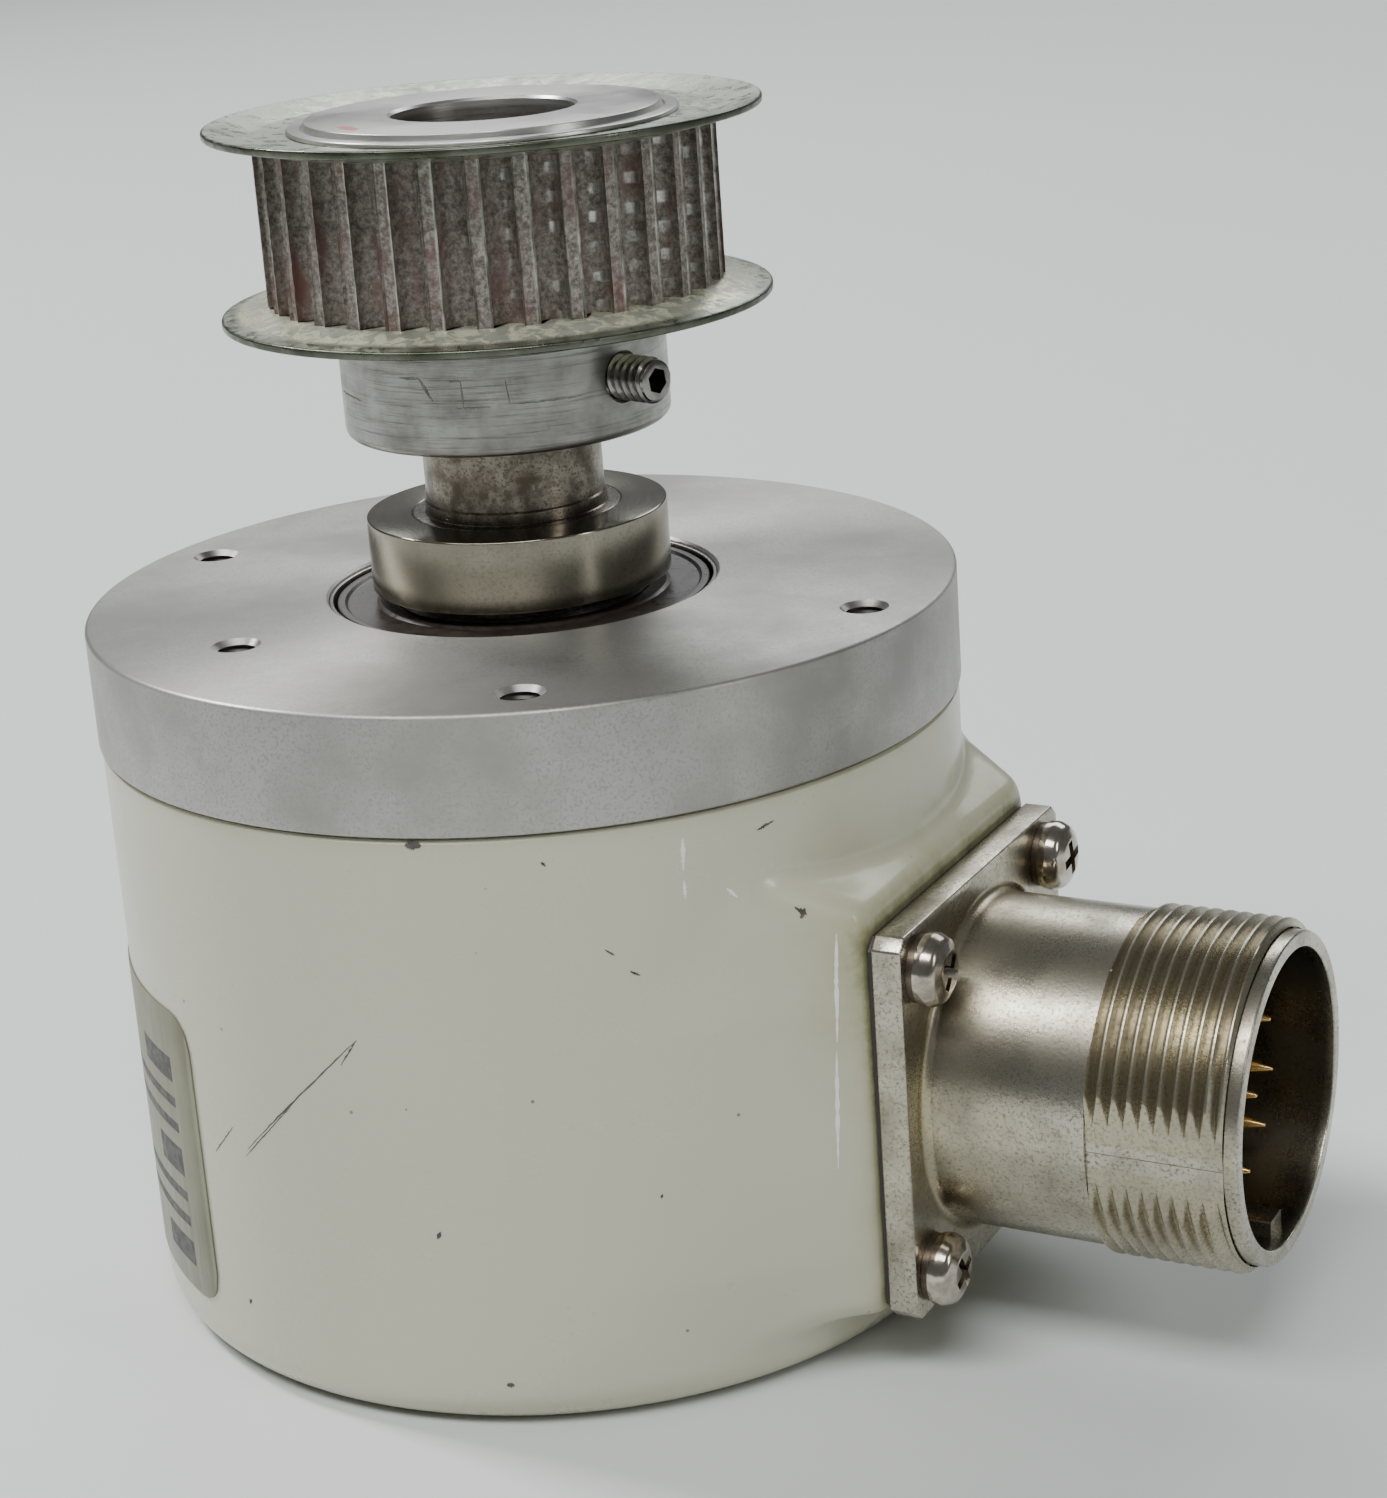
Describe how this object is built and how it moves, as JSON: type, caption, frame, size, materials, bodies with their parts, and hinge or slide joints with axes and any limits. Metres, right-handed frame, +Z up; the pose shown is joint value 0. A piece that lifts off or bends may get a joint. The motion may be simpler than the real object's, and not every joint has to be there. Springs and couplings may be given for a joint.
{
  "type": "rotary encoder",
  "caption": "Flange-mounted rotary encoder with a flanged toothed pulley on its shaft, a painted pot cover and a threaded round receptacle on its side.",
  "frame": {"origin": "on the shaft's axis, in the plane of the cover's flat underside, on which the part stands", "axes": "+Z up along the shaft towards the pulley, +X from the shaft towards the receptacle's mouth, +Y completes the right-handed set"},
  "size_m": [0.1384, 0.098, 0.1335],
  "materials": {
    "machined_aluminium": "satin, machined",
    "cream_paint": "gloss enamel, scuffed",
    "black_rubber": "matt",
    "label_foil": "satin foil",
    "plated_steel": "bright zinc plate",
    "nickel_plate": "dull nickel plate",
    "dark_steel": "oiled spring steel",
    "black_oxide": "black oxide",
    "bearing_steel": "ground",
    "cage_brass": "pressed",
    "stained_steel": "stained, ground",
    "polished_steel": "turned and polished",
    "zinc_plate": "dull zinc plate",
    "connector_plastic": "moulded",
    "gold_contacts": "gold flash",
    "optical_glass": "polished",
    "board_laminate": "solder resist",
    "chip_plastic": "moulded",
    "capacitor_sleeve": "shrunk sleeve",
    "wire_insulation": "extruded"
  },
  "bodies": {
    "housing": {"board_link_header": "connector_plastic", "board_screws": "plated_steel", "board_spacers": "connector_plastic", "board_standoffs": "plated_steel", "bracket_screws": "plated_steel", "collimating_lens": "optical_glass", "connector_gasket": "black_rubber", "connector_insulator": "connector_plastic", "connector_lock_washers": "dark_steel", "connector_pins": "gold_contacts", "connector_screws": "nickel_plate", "connector_shell": "nickel_plate", "cover_o_ring": "black_rubber", "cover_pillars": "plated_steel", "cover_screws": "plated_steel", "cover_shell": "cream_paint", "detector_board": "board_laminate", "filter_capacitors": "capacitor_sleeve", "front_bearing_outer_ring": "bearing_steel", "front_bearing_shields": "black_rubber", "front_flange": "machined_aluminium", "harness_plug": "connector_plastic", "harness_socket": "connector_plastic", "harness_wires": "wire_insulation", "led_lamp": "optical_glass", "mask_plate": "optical_glass", "optics_bracket": "connector_plastic", "photodiode_array": "chip_plastic", "preload_disc_spring": "dark_steel", "processor_board": "board_laminate", "rating_label": "label_foil", "rear_bearing_outer_ring": "bearing_steel", "rear_bearing_shields": "plated_steel", "signal_chips": "chip_plastic"},
    "rotor": {"shaft": "stained_steel", "shaft_collar": "polished_steel", "front_bearing_inner_ring": "bearing_steel", "rear_bearing_inner_ring": "bearing_steel", "bearing_spacer": "bearing_steel", "shaft_retaining_ring": "dark_steel", "disc_hub": "machined_aluminium", "hub_grub_screws": "black_oxide", "code_disc": "optical_glass", "disc_clamp_ring": "machined_aluminium", "disc_clamp_screws": "plated_steel", "pulley_body": "machined_aluminium", "pulley_upper_flange": "zinc_plate", "pulley_lower_flange": "zinc_plate", "pulley_set_screws": "black_oxide"},
    "front_ball_set": {"front_bearing_balls": "bearing_steel", "front_bearing_cage": "cage_brass"},
    "rear_ball_set": {"rear_bearing_balls": "bearing_steel", "rear_bearing_cage": "cage_brass"}
  },
  "joints": [
    {"name": "shaft_spin", "type": "hinge", "parent": "housing", "child": "rotor", "pos_m": [0, 0, 0.0805], "axis": [0, 0, 1], "continuous": true},
    {"name": "front_cage_spin", "type": "hinge", "parent": "housing", "child": "front_ball_set", "pos_m": [0, 0, 0.0741], "axis": [0, 0, 1], "continuous": true},
    {"name": "rear_cage_spin", "type": "hinge", "parent": "housing", "child": "rear_ball_set", "pos_m": [0, 0, 0.0415], "axis": [0, 0, 1], "continuous": true}
  ],
  "couplings": [
    {"joint": "front_cage_spin", "follows": "shaft_spin", "ratio": 0.40379},
    {"joint": "rear_cage_spin", "follows": "shaft_spin", "ratio": 0.40379}
  ]
}
